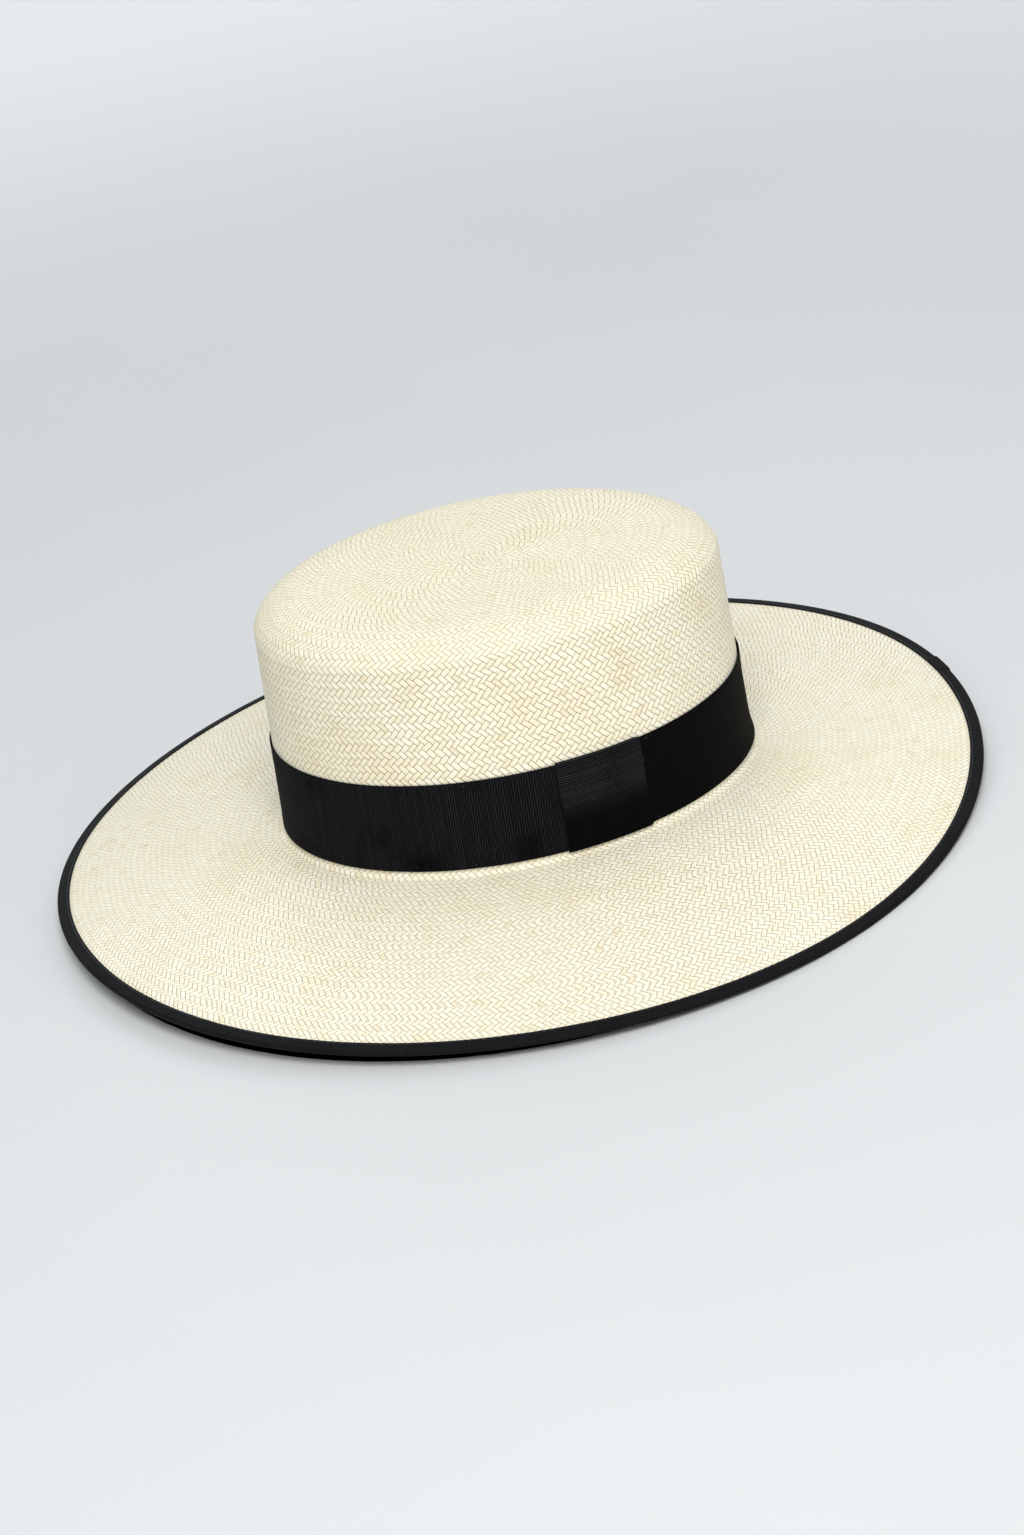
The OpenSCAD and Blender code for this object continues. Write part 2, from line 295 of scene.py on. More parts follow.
def round_bar(length, radius, sides=8, rings=7, arch=0.0):
    """Points and faces of a thread stitch along X, with round ends and an arched middle."""
    x = np.sin(np.linspace(-math.pi / 2, math.pi / 2, rings)) * length / 2
    swell = np.sqrt(np.clip(1 - (np.abs(x) / (length / 2)) ** 6, 0.12, 1)) * radius
    lift = arch * (1 - (2 * x / length) ** 2)
    angle = np.arange(sides) * 2 * math.pi / sides
    points = np.stack(
        [
            np.repeat(x, sides),
            np.outer(swell, np.cos(angle)).ravel(),
            np.outer(swell, np.sin(angle)).ravel() + np.repeat(lift, sides),
        ],
        -1,
    )
    faces = quads(rings, sides, False, True)[0].tolist()
    last = (rings - 1) * sides
    return points, faces + [list(range(sides)), list(range(last, last + sides))]


def scatter(name, shape, places, material, **ride):
    """Copies of a shape at places, each an origin and three axes, as one piece."""
    points, faces = shape
    origin, along, side, up = places
    world = (
        origin[:, None]
        + along[:, None] * points[None, :, :1]
        + side[:, None] * points[None, :, 1:2]
        + up[:, None] * points[None, :, 2:]
    )
    count = len(points)
    every = [[k + c * count for k in face] for c in range(len(origin)) for face in faces]
    corners = np.concatenate([points[face][:, :2] for face in faces])
    return add_piece(name, world, every, material, uv=np.tile(corners, (len(origin), 1)), **ride)


def axes_on(surface, t, step=0.05):
    """Origin, along, side and up at stations t of surface(t, lean), whose second argument
    moves off the surface's line across it."""
    origin = surface(t, 0.0)
    along = unit(surface(t + step, 0.0) - surface(t - step, 0.0))
    across = unit(surface(t, step) - surface(t, -step))
    up = unit(np.cross(along, across))
    return origin, along, np.cross(up, along), up


# ---------------------------------------------------------------- shader helpers
def linear(hex_color):
    """A #rrggbb colour as linear RGBA."""
    values = [int(hex_color[i : i + 2], 16) / 255 for i in (1, 3, 5)]
    return [x / 12.92 if x <= 0.04045 else ((x + 0.055) / 1.055) ** 2.4 for x in values] + [1.0]


class Shader:
    """A material's node tree, with a short call for each kind of node used here."""

    def __init__(self, name, roughness, specular=0.5, sheen=0.0):
        self.material = bpy.data.materials.new(name)
        self.material.use_nodes = True
        self.tree = self.material.node_tree
        self.bsdf = self.tree.nodes["Principled BSDF"]
        self.bsdf.inputs["Roughness"].default_value = roughness
        self.bsdf.inputs["Specular IOR Level"].default_value = specular
        self.bsdf.inputs["Sheen Weight"].default_value = sheen
        self.bsdf.inputs["Sheen Roughness"].default_value = 0.4

    def node(self, kind, **settings):
        node = self.tree.nodes.new("ShaderNode" + kind)
        for key, value in settings.items():
            setattr(node, key, value)
        return node

    def put(self, value, socket):
        if isinstance(value, bpy.types.NodeSocket):
            self.tree.links.new(value, socket)
        else:
            socket.default_value = value

    def math(self, operation, *values, clamp=False):
        node = self.node("Math", operation=operation, use_clamp=clamp)
        for value, socket in zip(values, node.inputs):
            self.put(value, socket)
        return node.outputs[0]

    def blend(self, factor, a, b):
        """Colour a where factor is 0 and b where it is 1."""
        node = self.node("Mix", data_type="RGBA")
        for value, index in ((factor, 0), (a, 6), (b, 7)):
            self.put(value, node.inputs[index])
        return node.outputs[2]

    def pick(self, factor, a, b):
        """a where factor is 0 and b where it is 1, for plain numbers."""
        node = self.node("Mix", data_type="FLOAT")
        for value, index in ((factor, 0), (a, 2), (b, 3)):
            self.put(value, node.inputs[index])
        return node.outputs[0]

    def uv(self):
        split = self.node("SeparateXYZ")
        self.put(self.node("UVMap", uv_map="weave").outputs[0], split.inputs[0])
        return split.outputs[0], split.outputs[1]

    def place(self):
        """The point on the piece, in the row frame's metres."""
        return self.node("TexCoord").outputs["Object"]

    def axis_z(self):
        """The height above the floor, in metres."""
        split = self.node("SeparateXYZ")
        self.put(self.place(), split.inputs[0])
        return split.outputs[2]

    def radius(self):
        """The distance from the row frame's origin, in metres."""
        length = self.node("VectorMath", operation="LENGTH")
        self.put(self.place(), length.inputs[0])
        return length.outputs["Value"]

    def times(self, a, b):
        return self.math("MULTIPLY", a, b)

    def arch(self, value, power):
        """1 in the middle of 0 to 1, falling to 0 at both ends."""
        off = self.math("ABSOLUTE", self.math("MULTIPLY_ADD", value, 2.0, -1.0))
        return self.math("SUBTRACT", 1.0, self.math("POWER", off, power), clamp=True)

    def vector(self, x, y, z=0.0):
        node = self.node("CombineXYZ")
        for value, socket in zip((x, y, z), node.inputs):
            self.put(value, socket)
        return node.outputs[0]

    def noise(self, vector, scale, detail=2.0):
        node = self.node("TexNoise", noise_dimensions="3D")
        self.put(vector, node.inputs["Vector"])
        node.inputs["Scale"].default_value = scale
        node.inputs["Detail"].default_value = detail
        return node.outputs[0]

    def chance(self, vector):
        """A random number from 0 to 1 for each different vector."""
        node = self.node("TexWhiteNoise", noise_dimensions="3D")
        self.put(vector, node.inputs["Vector"])
        return node.outputs[0]

    def steps(self, value, low, high):
        """0 below low, 1 above high and smooth in between."""
        node = self.node("MapRange", interpolation_type="SMOOTHSTEP")
        self.put(value, node.inputs[0])
        node.inputs[1].default_value = low
        node.inputs[2].default_value = high
        return node.outputs[0]

    def bump(self, height, distance, strength=1.0, below=None):
        """distance is in metres, for a height from 0 to 1."""
        node = self.node("Bump")
        node.inputs["Strength"].default_value = strength
        node.inputs["Distance"].default_value = distance
        self.put(height, node.inputs["Height"])
        if below is not None:
            self.put(below, node.inputs["Normal"])
        return node.outputs[0]

    def finish(self, color, normal, roughness=None):
        """The material with these on its surface."""
        self.put(color, self.bsdf.inputs["Base Color"])
        self.put(normal, self.bsdf.inputs["Normal"])
        if roughness is not None:
            self.put(roughness, self.bsdf.inputs["Roughness"])
        return self.material


UNEVEN = 1.6
TWILL = 4.0
STRAW_LIGHT = "#fffdee"
STRAW_DARK = "#fbf5de"
CROSS_TAN = "#f1e4c0"
WARM_FLOAT = "#f3e8c4"
BROWN_FLOAT = "#dcbd86"
PATCH_TAN = "#eedfb4"
FIBRE_TAN = "#eee0b8"
GAP_BROWN = "#a9854c"
SPLIT_TAN = "#b9a06c"
DOT_BROWN = "#8a5f2c"
TOP_TONE = "#e6d9b6"
WALL_FROM = (0.018, 0.034)
TOP_FROM = (0.111, 0.12)


def by_zone(s, brim, wall, top):
    """A value for the brim, one for the crown's wall and one for its top."""
    on_crown = s.steps(s.axis_z(), *WALL_FROM)
    return s.pick(s.steps(s.axis_z(), *TOP_FROM), s.pick(on_crown, brim, wall), top)


def weave_cells(s):
    """Where a point lies in a two-over, two-under diagonal weave: whether the first set of
    strands is on top there, the run along the strand, the place across it and the strand's
    number. The UV map counts strands: u along one set of them and v along the other."""
    p, q = s.uv()
    p = s.math("ADD", p, s.times(s.noise(s.place(), 55.0, detail=3.0), UNEVEN))
    q = s.math("ADD", q, s.times(s.noise(s.place(), 63.0, detail=3.0), UNEVEN))
    i = s.math("FLOOR", p)
    j = s.math("FLOOR", q)
    turn = s.math("FLOORED_MODULO", s.math("SUBTRACT", i, j), TWILL)
    first = s.math("LESS_THAN", turn, TWILL / 2)
    first_run = s.math("SUBTRACT", p, j)
    second_run = s.math("SUBTRACT", s.math("SUBTRACT", q, i), 1.0)
    run = s.pick(first, second_run, first_run)
    across = s.pick(first, s.math("FRACT", p), s.math("FRACT", q))
    strand = s.pick(first, s.math("ADD", i, 0.5), j)
    return first, run, across, strand


def straw_tones(s, first, strand, straw, float_id, fibres):
    """The colour of the straws: each strand, each float, patches and fibres. The crossing strands
    are a little tan, more so on the crown's wall, where the extra tan is painted warm bounce
    light.
    """
    straw_tone = s.chance(s.vector(strand, straw, first))
    float_tone = s.chance(s.vector(strand, float_id, first))
    patches = s.noise(s.place(), 28.0, detail=3.0)
    # crossing strands tinted tan; the stronger tint on the wall is painted warm bounce light
    cross_tan_and_wall_bounce = s.times(s.math("SUBTRACT", 1.0, first), by_zone(s, 0.04, 0.16, 0.05))
    color = s.blend(straw_tone, linear(STRAW_LIGHT), linear(STRAW_DARK))
    color = s.blend(cross_tan_and_wall_bounce, color, linear(CROSS_TAN))
    color = s.blend(s.times(float_tone, 0.3), color, linear(WARM_FLOAT))
    color = s.blend(s.times(s.steps(float_tone, 0.965, 0.985), 0.2), color, linear(BROWN_FLOAT))
    color = s.blend(s.times(s.steps(patches, 0.5, 0.7), 0.24), color, linear(PATCH_TAN))
    return s.blend(s.times(s.steps(fibres, 0.35, 0.75), 0.2), color, linear(FIBRE_TAN))


def straw_gaps(s, color, side_fall, end_fall, split_fall, dot_chance):
    """Darkens the gaps round each float, the split between its two straws and its corners,
    with painted shade making the gaps darker on the crown's wall.
    """
    joint = s.steps(s.math("SUBTRACT", 1.0, s.times(side_fall, end_fall)), 0.4, 0.95)
    split = s.steps(s.math("SUBTRACT", 1.0, split_fall), 0.5, 1.0)
    end_gap = s.steps(s.math("SUBTRACT", 1.0, end_fall), 0.5, 0.95)
    side_gap = s.steps(s.math("SUBTRACT", 1.0, side_fall), 0.25, 0.8)
    dot = s.times(s.times(end_gap, side_gap), s.steps(dot_chance, 0.3, 0.7))
    # the gaps are darker on the wall than on the brim and top: the extra darkening is painted
    # shade
    color = s.blend(s.times(joint, by_zone(s, 0.36, 0.56, 0.36)), color, linear(GAP_BROWN))
    color = s.blend(s.times(split, 0.16), color, linear(SPLIT_TAN))
    color = s.blend(s.times(dot, by_zone(s, 0.8, 0.8, 0.5)), color, linear(DOT_BROWN))
    return s.blend(by_zone(s, 0.0, 0.0, 0.25), color, linear(TOP_TONE))


def straw_material():
    """Toquilla straw, woven from strands that are two straws wide."""
    s = Shader("toquilla_straw", roughness=0.5, specular=0.22)
    first, run, across, strand = weave_cells(s)
    float_id = s.math("FLOOR", s.math("DIVIDE", run, TWILL))
    pair = s.times(across, 2.0)
    side_fall = s.arch(across, 5.0)
    end_fall = s.arch(s.times(s.math("FLOORED_MODULO", run, TWILL), 0.5), 5.0)
    split_fall = s.arch(s.math("FRACT", pair), 3.0)
    grain = s.math("MULTIPLY_ADD", across, 9.0, s.times(strand, 9.1))
    fibres = s.noise(s.vector(grain, run, first), 1.0, detail=3.0)
    dot_chance = s.chance(s.vector(float_id, strand, 7.0))
    color = straw_tones(s, first, strand, s.math("FLOOR", pair), float_id, fibres)
    color = straw_gaps(s, color, side_fall, end_fall, split_fall, dot_chance)
    height = s.times(side_fall, s.math("MULTIPLY_ADD", end_fall, 0.5, 0.5))
    height = s.times(height, s.math("MULTIPLY_ADD", split_fall, 0.2, 0.8))
    height = s.times(height, s.math("MULTIPLY_ADD", first, 0.15, 0.85))
    normal = s.bump(height, 0.00045, 1.0, below=s.bump(fibres, 0.00006, 0.5))
    return s.finish(color, normal, s.math("MULTIPLY_ADD", fibres, 0.2, 0.42))


WEFT_PITCH = 0.28


def ribbon_material(name, base, light, rib_highlight_color, specular, rib_bump, highlight_fade=None):
    """Woven ribbon, with a painted highlight on the crest of each rib. The UV map's u is in ribs
    along it and v in millimetres across it. The painted highlight is off up to the first rib
    of the last pair given and full from the second."""
    s = Shader(name, roughness=0.55, specular=specular)
    u, v = s.uv()
    thread = s.noise(s.vector(s.times(u, 0.5), s.times(v, 4.0)), 1.0, detail=3.0)
    patch = s.noise(s.place(), 45.0, detail=3.0)
    lint = s.steps(s.noise(s.place(), 700.0, detail=1.0), 0.77, 0.79)
    rib_tone = s.chance(s.vector(s.math("FLOOR", u), 1.0, 0.0))
    turn = s.times(u, 2 * math.pi)
    wave = s.math("MULTIPLY_ADD", s.math("COSINE", turn), -0.5, 0.5)
    # painted highlight: the crest of each rib is painted lighter, in patches, for light catching
    # the ribs
    rib_highlight = s.times(s.math("POWER", wave, 2.0), s.math("MULTIPLY_ADD", rib_tone, 0.4, 0.6))
    rib_highlight = s.times(rib_highlight, s.steps(patch, 0.2, 0.5))
    if highlight_fade:
        rib_highlight = s.times(rib_highlight, s.steps(u, *highlight_fade))
    color = s.blend(s.times(thread, 0.5), linear(base), linear(light))
    color = s.blend(s.times(s.steps(patch, 0.4, 0.7), 0.3), color, linear(light))
    # paints the rib highlight into the ribbon's colour
    color = s.blend(s.times(rib_highlight, 0.9), color, linear(rib_highlight_color))
    color = s.blend(s.times(lint, 0.1), color, linear("#8a8a90"))
    weft = s.math("MULTIPLY_ADD", s.math("SINE", s.times(v, 2 * math.pi / WEFT_PITCH)), 0.5, 0.5)
    normal = s.bump(s.math("ADD", weft, thread), 0.00003, 0.5)
    if rib_bump:
        normal = s.bump(wave, rib_bump, 0.8, below=normal)
    return s.finish(color, normal, s.math("MULTIPLY_ADD", thread, 0.25, 0.5))


def thread_material(name, base, light):
    """Twisted sewing thread. The UV map's u runs along each stitch in millimetres."""
    s = Shader(name, roughness=0.7, specular=0.3, sheen=0.2)
    u, v = s.uv()
    twist = s.math("SINE", s.math("MULTIPLY_ADD", u, 14.0, s.times(v, 9.0)))
    wear = s.noise(s.place(), 300.0)
    tone = s.math("MULTIPLY_ADD", twist, 0.25, s.times(wear, 0.8), clamp=True)
    color = s.blend(tone, linear(base), linear(light))
    return s.finish(color, s.bump(twist, 0.00005, 0.6))


def leather_material():
    """Thin light tan leather, with pores and creases."""
    s = Shader("sweat_leather", roughness=0.5, specular=0.45)
    place = s.place()
    cells = s.node("TexVoronoi", feature="DISTANCE_TO_EDGE")
    s.put(place, cells.inputs["Vector"])
    cells.inputs["Scale"].default_value = 900.0
    pores = s.steps(cells.outputs[0], 0.0, 0.18)
    tone = s.noise(place, 22.0, detail=4.0)
    color = s.blend(s.steps(tone, 0.35, 0.7), linear("#d8bc93"), linear("#c39f70"))
    color = s.blend(s.math("SUBTRACT", 1.0, pores), color, linear("#9d7a4e"))
    normal = s.bump(pores, 0.00006, 0.6, below=s.bump(tone, 0.0002, 0.3))
    return s.finish(color, normal, s.math("MULTIPLY_ADD", tone, 0.3, 0.35))


def cloth_material(name, base, light, pitch):
    """Plain-woven tape. The UV map is in millimetres and pitch is the yarns' spacing."""
    s = Shader(name, roughness=0.8, specular=0.25, sheen=0.15)
    u, v = s.uv()
    turn = 2 * math.pi / pitch
    yarns = s.times(s.math("SINE", s.times(u, turn)), s.math("SINE", s.times(v, turn)))
    patch = s.noise(s.place(), 120.0, detail=3.0)
    tone = s.math("MULTIPLY_ADD", yarns, 0.3, patch, clamp=True)
    return s.finish(s.blend(tone, linear(base), linear(light)), s.bump(yarns, 0.00006, 0.6))


def plastic_material():
    """The pale extruded cord of the reed, with faint draw lines."""
    s = Shader("reed_plastic", roughness=0.45, specular=0.5)
    u, v = s.uv()
    lines = s.noise(s.vector(s.times(u, 0.05), s.times(v, 6.0)), 1.0, detail=2.0)
    color = s.blend(lines, linear("#e4dcc6"), linear("#d3c8ab"))
    return s.finish(color, s.bump(lines, 0.00004, 0.4), s.math("MULTIPLY_ADD", lines, 0.2, 0.35))


def steel_material(name, base, light):
    """Drawn steel with lengthwise scratches and a little dulling."""
    s = Shader(name, roughness=0.35)
    s.bsdf.inputs["Metallic"].default_value = 1.0
    u, v = s.uv()
    scratches = s.noise(s.vector(s.times(u, 0.2), s.times(v, 12.0)), 1.0, detail=3.0)
    dull = s.noise(s.place(), 200.0)
    color = s.blend(scratches, linear(base), linear(light))
    return s.finish(color, s.bump(scratches, 0.00002, 0.4), s.math("MULTIPLY_ADD", dull, 0.3, 0.2))


# ---------------------------------------------------------------- the straw
COLUMNS = 360
AROUND = np.arange(COLUMNS) * 360.0 / COLUMNS
SEAM_FIRST = (AROUND + BACK) % 360


def top_rows(t, inner, start, count):
    """Rings on the flat of the crown, from near its middle out to where its edge rounds."""
    rim = top_edge_point(t, 90.0, inner)
    middle = np.array([0, CROWN_BACK, CROWN_H - inner])
    share = np.linspace(start, 1, count)[:, None]
    rows = middle + (rim - middle) * share[..., None]
    rows[..., 2] += 0.5 * (1 - share**2) + 0.16 * np.sin(share * 9) * (1 - share)
    return rows


def wall_rows(t, count, inset):
    """Rings from just under the crown's top edge to just above its foot."""
    share = np.linspace(0, 1, count)[1:-1, None]
    high = CROWN_H - edge_down(t)
    return crown_point(t, high + (BREAK_R - high) * share, inset)


def outer_rows():
    """The straw's outside from the middle of the crown's top to the brim's edge."""
    t = SEAM_FIRST[None]
    arc = np.linspace(90, 0, 15)[1:, None]
    turn = np.radians(np.linspace(0, 72, 5))[:, None]
    share = np.linspace(0, 1, 52)[:-1, None]
    return np.concatenate(
        [
            top_rows(SEAM_FIRST, 0.0, 0.02, 34),
            top_edge_point(t, arc, 0.0),
            wall_rows(t, 44, 0.0),
            crown_point(t, BREAK_R * (1 - np.sin(turn)), -BREAK_R * (1 - np.cos(turn))),
            brim_point(t, (1 - share) * brim_width(t), STRAW_T / 2),
            brim_point(t, STRAW_END, STRAW_T / 2 - 0.05),
            brim_point(t, STRAW_END - 0.2, STRAW_T / 2 - 0.3),
        ]
    )


def inner_rows():
    """The straw's underside from the brim's edge to the middle of the crown's top."""
    t = SEAM_FIRST[None]
    r1 = BREAK_R + STRAW_T
    arc = np.linspace(0, 90, 13)[:-1, None]
    turn = np.radians(np.linspace(72, 0, 5))[:, None]
    share = np.linspace(1, 0, 42)[1:, None]
    return np.concatenate(
        [
            brim_point(t, STRAW_END - 0.2, -STRAW_T / 2 + 0.3),
            brim_point(t, STRAW_END, -STRAW_T / 2 + 0.05),
            brim_point(t, (1 - share) * brim_width(t), -STRAW_T / 2),
            crown_point(t, BREAK_R - r1 * np.sin(turn), r1 * np.cos(turn) - BREAK_R),
            wall_rows(t, 30, STRAW_T)[::-1],
            top_edge_point(t, arc, STRAW_T),
            top_rows(SEAM_FIRST, STRAW_T, 0.02, 24)[::-1],
        ]
    )


def strand_counts(around, climb, on_wall):
    """How many strands each band between two rings has, and the strands counted up the
    rings. A wall keeps its count, and elsewhere it changes every two diamonds of the weave."""
    diamond = STRAND_PITCH * math.sqrt(2)
    counts = []
    climbed = [0.0]
    left, count, was_wall = 0.0, 0, None
    for r, wall in enumerate(on_wall):
        if left <= 0 or wall != was_wall:
            width = min(around[r] * 0.12, 2 * diamond)
            ahead = r + int(np.searchsorted(np.cumsum(climb[r:]), width / 2))
            count = round(around[min(ahead, len(around) - 1)] / diamond)
            left = math.inf if wall else width
        counts.append(count)
        left -= climb[r]
        climbed.append(climbed[-1] + climb[r] * count * 2 / (around[r] + around[r + 1]))
        was_wall = wall
    return np.array(counts), np.array(climbed)


def weave_uv(rows):
    """Strand counts at the corners of each quad between rings of points. The strands keep
    their number up the wall, and each ring on the top and the brim adds more of them. The
    middle of the crown's top is woven square."""
    closed = np.concatenate([rows, rows[:, :1]], axis=1)
    run = np.cumsum(np.linalg.norm(np.diff(closed, axis=1), axis=-1), axis=1)
    run = np.concatenate([np.zeros((len(rows), 1)), run], axis=1)
    climb = np.linalg.norm(np.diff(rows, axis=0), axis=-1).mean(axis=1)
    height = rows[..., 2].mean(axis=1)
    in_wall = (height > BREAK_R) & (height < CROWN_H - 3)
    counts, climbed = strand_counts(run[:, -1], climb, in_wall[:-1] & in_wall[1:])
    share = run / run[:, -1:]
    u = quad_corners(share[:-1] * counts[:, None], share[1:] * counts[:, None])
    level = np.broadcast_to(climbed[:, None], share.shape)
    v = quad_corners(level[:-1], level[1:])
    round_uv = np.stack([u + v, u - v], -1)
    square = square_uv(quad_corners(closed[:-1], closed[1:]))
    radius = np.hypot(rows[..., 0], rows[..., 1] - CROWN_BACK).mean(axis=1)
    middle = np.maximum(radius[:-1], radius[1:]) < WOVEN_SQUARE_R
    return np.where(middle[:, None, None, None], square, round_uv).reshape(-1, 2)


def quad_corners(low, high):
    """The values at the four corners of each quad, from those along its low and high ring."""
    return np.stack([low[:, :-1], low[:, 1:], high[:, 1:], high[:, :-1]], 2)


def square_uv(points):
    """Strand counts for a square weave on the crown's top."""
    return (points[..., :2] - np.array([0, CROWN_BACK])) / STRAND_PITCH


def straw_body():
    """Crown and brim, woven in one piece, with the middle of the weave at the top."""
    outer, inner = outer_rows(), inner_rows()
    rows = np.concatenate([outer, inner])
    n, m = rows.shape[:2]
    faces = quads(n, m, False, True)[0].tolist()
    hidden_in_binding = np.zeros((m * 4, 2))
    uv = np.concatenate([weave_uv(outer), hidden_in_binding, weave_uv(inner)])
    middles = np.stack([rows[0].mean(axis=0), rows[-1].mean(axis=0)])
    points = np.concatenate([rows.reshape(-1, 3), middles])
    for k in range(m):
        faces.append([n * m, k, (k + 1) % m])
        faces.append([n * m + 1, (n - 1) * m + (k + 1) % m, (n - 1) * m + k])
    fans = points[np.array(faces[-2 * m :])]
    uv = np.concatenate([uv, square_uv(fans).reshape(-1, 2)])
    return add_piece(
        "straw_body_woven", points, faces, straw_material(), nodes=["straw_body"],
        slot="toquilla_straw", uv=uv,
    )


# ---------------------------------------------------------------- the ribbon and its tab
def ribbon_flare(t, z):
    """How far the ribbon stands off the wall, by where it is on it."""
    low = np.clip((RIBBON_Z + 10 - z) / 10, 0, 1) ** 2
    high = np.clip((z - RIBBON_Z - RIBBON_W + 12) / 12, 0, 1) ** 2
    behind = np.exp(-(((t - 168 + 180) % 360 - 180) / 22) ** 2)
    return low * (0.25 + 0.9 * behind) + high * (0.12 + 0.35 * behind) + wander(t, 31, 0.03)


def tab_angle():
    """The angle that the tab's width takes up on the crown."""
    middle = math.radians(TAB_MIDDLE)
    radius = math.hypot(CROWN_B * math.cos(middle), CROWN_A * math.sin(middle))
    return math.degrees(TAB_W / radius)


def hat_band(material):
    """The ribbon round the crown, with its ribs upright and its two ends under the tab."""
    joint = TAB_FROM + tab_angle() / 2
    ribs = round(math.pi * (CROWN_A + CROWN_B) / RIB_PITCH)
    t = np.linspace(joint + 0.1, joint + 359.9, ribs * 4 + 1)
    wave = 0.1 * (0.5 - 0.5 * np.cos(np.arange(len(t)) * math.pi / 2))
    z0, z1, selvedge = RIBBON_Z, RIBBON_Z + RIBBON_W, 0.12
    low_edge = [z0 + selvedge, z0, z0 + selvedge]
    high_edge = [z1 - selvedge, z1, z1 - selvedge]
    front, behind = np.linspace(z0 + 0.9, z1 - 0.9, 9), np.linspace(z1 - 4, z0 + 4, 5)
    heights = np.concatenate([low_edge, front, high_edge, behind])
    depth = (RIBBON_T - 0.1) * np.array([0, 0.5, 1] + [1] * 9 + [1, 0.5, 0] + [0] * 5)
    ribbed = np.array([0, 0, 0.4] + [1] * 9 + [0.4, 0, 0] + [0] * 5)
    z = heights + wander(t, 33, 0.05, orders=(3, 8, 17, 29))[:, None]
    inset = -RIBBON_GAP - ribbon_flare(t[:, None], z) - depth - ribbed * wave[:, None]
    v = lengths(np.stack([heights, depth], -1))
    return sweep(
        "hat_band_ribbon", crown_point(t[:, None], z, inset), np.arange(len(t)) / 4,
        np.append(v, v[-1] + 4), material, ring=False, nodes=["hat_band"], slot="grosgrain_black",
    )


TAB_LOW = RIBBON_Z - 0.1
TAB_HIGH = RIBBON_Z + RIBBON_W + 0.1
TAB_IN = -RIBBON_GAP - RIBBON_T - TAB_GAP
TAB_LIP = -0.1


def tab_section():
    """The tab's outline as heights and insets: its ribbed face, the fold over the band's
    upper edge, its back and the fold under the lower edge."""
    ribs = int((TAB_HIGH - TAB_LOW) / TAB_RIB_PITCH)
    face = np.linspace(TAB_LOW, TAB_HIGH, ribs * 4 + 1)
    wave = 0.12 * (0.5 - 0.5 * np.cos(np.arange(len(face)) * math.pi / 2))
    turn = np.radians(np.linspace(0, 90, 6))[1:]
    rise = RIBBON_T * np.sin(turn)
    fold = TAB_IN - RIBBON_T * np.cos(turn)
    lip = TAB_LIP + (TAB_IN - TAB_LIP) * np.array([0.75, 0.35, 0.0])
    corner = np.array([TAB_LIP, TAB_IN + 0.02])
    parts = [
        (face, TAB_IN - RIBBON_T - wave + 0.04),
        (TAB_HIGH + rise, fold),
        (np.full(3, TAB_HIGH + RIBBON_T), lip),
        (np.full(2, TAB_HIGH), corner),
        (np.linspace(TAB_HIGH, TAB_LOW, 9), np.full(9, TAB_IN)),
        (np.full(2, TAB_LOW), corner[::-1]),
        (np.full(3, TAB_LOW - RIBBON_T), lip[::-1]),
        (TAB_LOW - rise[::-1], fold[::-1]),
    ]
    heights, insets = (np.concatenate(values) for values in zip(*parts))
    keep = np.append(True, np.hypot(np.diff(heights), np.diff(insets)) > 1e-4)
    return heights[keep], insets[keep]


def band_tab(material):
    """The tab is the same ribbon with its ribs level, turned in over the band's edges. It
    bulges a little, and the corner at its end is pinched down."""
    heights, insets = tab_section()
    t = np.linspace(TAB_FROM, TAB_FROM + tab_angle(), 41)[:, None]
    side = np.linspace(-1, 1, len(t))[:, None]
    up = np.clip((heights - TAB_LOW) / (TAB_HIGH - TAB_LOW), 0, 1)
    in_front = insets < TAB_IN - 0.2
    puff = 0.25 * (1 - np.abs(side) ** 6) * np.sin(up * math.pi) ** 0.5 * in_front
    flare = ribbon_flare(t, np.clip(heights, TAB_LOW, TAB_HIGH)[None])
    near_top = 1 - np.clip((TAB_HIGH + RIBBON_T - heights) / 9, 0, 1)
    pinch = 0.35 * near_top**2 * (side > 0.93)
    grid = crown_point(t, heights - pinch, insets - puff - flare)
    v = lengths(np.stack([heights, insets], -1), closed=True) / TAB_RIB_PITCH
    piece = sweep(
        "band_tab_ribbon", grid, np.linspace(0, TAB_W, len(t)), v, material, ring=False,
        nodes=["band_tab"], slot="grosgrain_black",
    )
    swap_uv(piece)
    return piece


def swap_uv(piece):
    """Turns a piece's UV map, so that its ribs run along the sweep and not across it."""
    layer = piece.data.uv_layers["weave"].data
    uv = np.zeros(len(layer) * 2, np.float32)
    layer.foreach_get("uv", uv)
    layer.foreach_set("uv", uv.reshape(-1, 2)[:, ::-1].copy().ravel())


def band_tacks(material):
    """Small thread loops through the ribbon's two edges."""
    t = np.arange(22.5, 360, 45.0)
    pieces = []
    for z in (RIBBON_Z + TACK_IN, RIBBON_Z + RIBBON_W - TACK_IN):

        def wall(t, rise, z=z):
            return crown_point(t, z + rise, -RIBBON_GAP - RIBBON_T - 0.02 - ribbon_flare(t, z))

        pieces.append(axes_on(wall, t))
    origin, along, side, up = (np.concatenate(parts) for parts in zip(*pieces))
    return scatter(
        "band_tacks_thread", round_bar(1.2, THREAD_R, arch=0.08), (origin, side, along, up),
        material, nodes=["band_tacks"], slot="thread_black",
    )


# ---------------------------------------------------------------- the bound edge
def binding_rim(t):
    """How far in the binding's two edges reach, with the unevenness of handwork."""
    slow = wander(t, 41, 0.12, orders=(4, 9, 15, 23))
    return BINDING_IN + slow + wander(t, 42, 0.05, orders=(37, 61))


